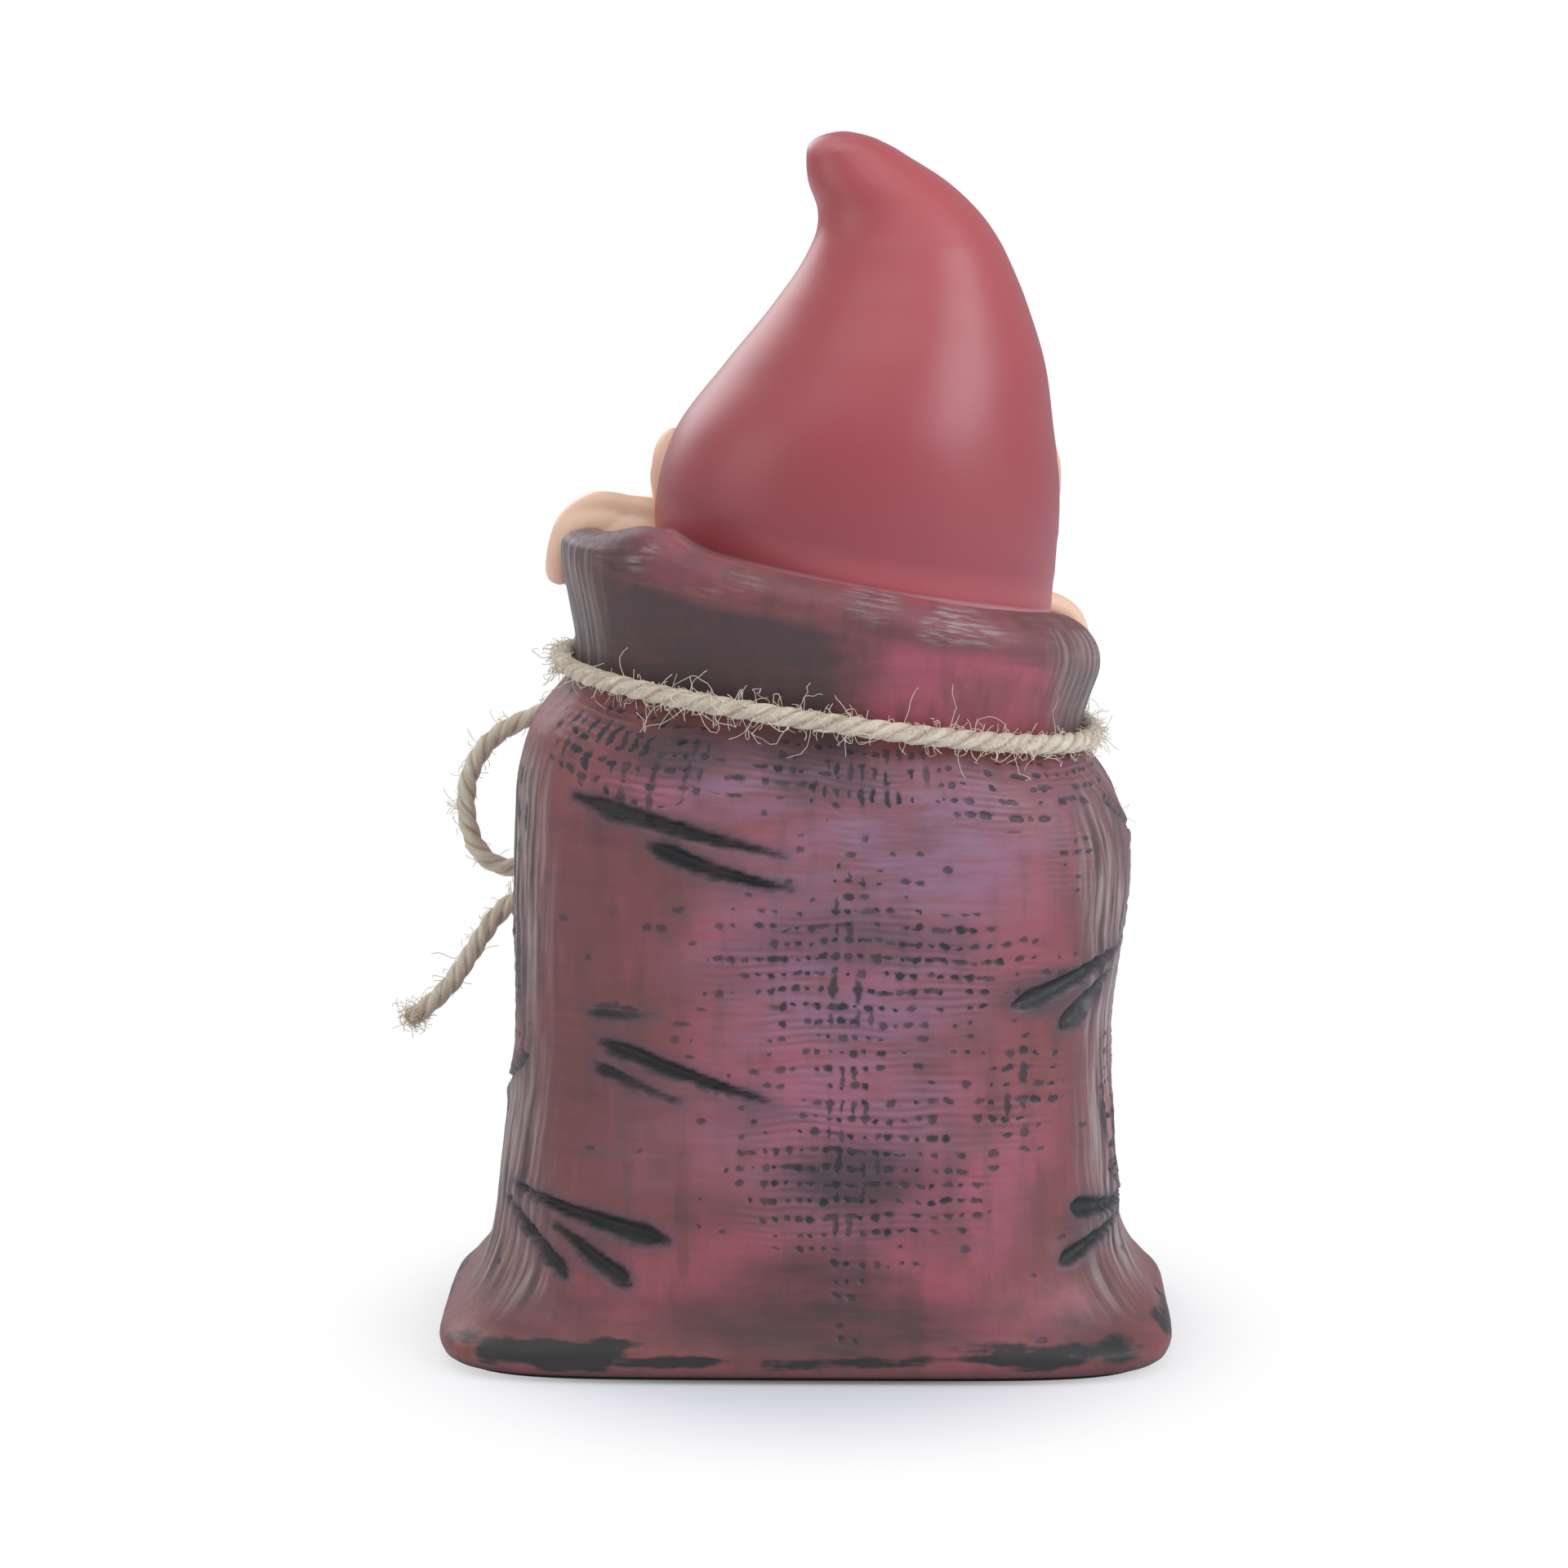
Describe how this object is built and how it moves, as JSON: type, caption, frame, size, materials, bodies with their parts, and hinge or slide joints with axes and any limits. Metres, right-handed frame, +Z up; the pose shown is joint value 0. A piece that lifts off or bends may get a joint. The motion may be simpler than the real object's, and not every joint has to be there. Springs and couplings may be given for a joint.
{
  "type": "nisse figure",
  "caption": "Free-standing painted figure of a nisse in a curled pointed hat that looks out of a burlap-textured sack tied with a twine bow.",
  "frame": {"origin": "centre of the foot, on the surface that the figure stands on", "axes": "+Z up, the face and the bow look along -Y, the figure's own left is +X"},
  "size_m": [0.1575, 0.104, 0.24],
  "materials": {
    "sack": "dull red paint with a dark wash in the weave",
    "felt": "short felt",
    "skin": "satin skin-coloured paint",
    "hat": "semi-gloss red paint",
    "nose": "satin rosy paint",
    "hair": "satin off-white paint with a grey wash",
    "twine": "natural hairy jute"
  },
  "bodies": {
    "root": {"sack": "sack", "felt_base": "felt", "head": "skin", "hat": "hat", "nose": "nose", "beard": "hair", "moustache": "hair", "left_hand": "skin", "right_hand": "skin", "neck_twine": "twine", "bow_knot": "twine", "bow_loop_left": "twine", "bow_loop_right": "twine", "twine_tail_left": "twine", "twine_tail_right": "twine"}
  },
  "joints": []
}
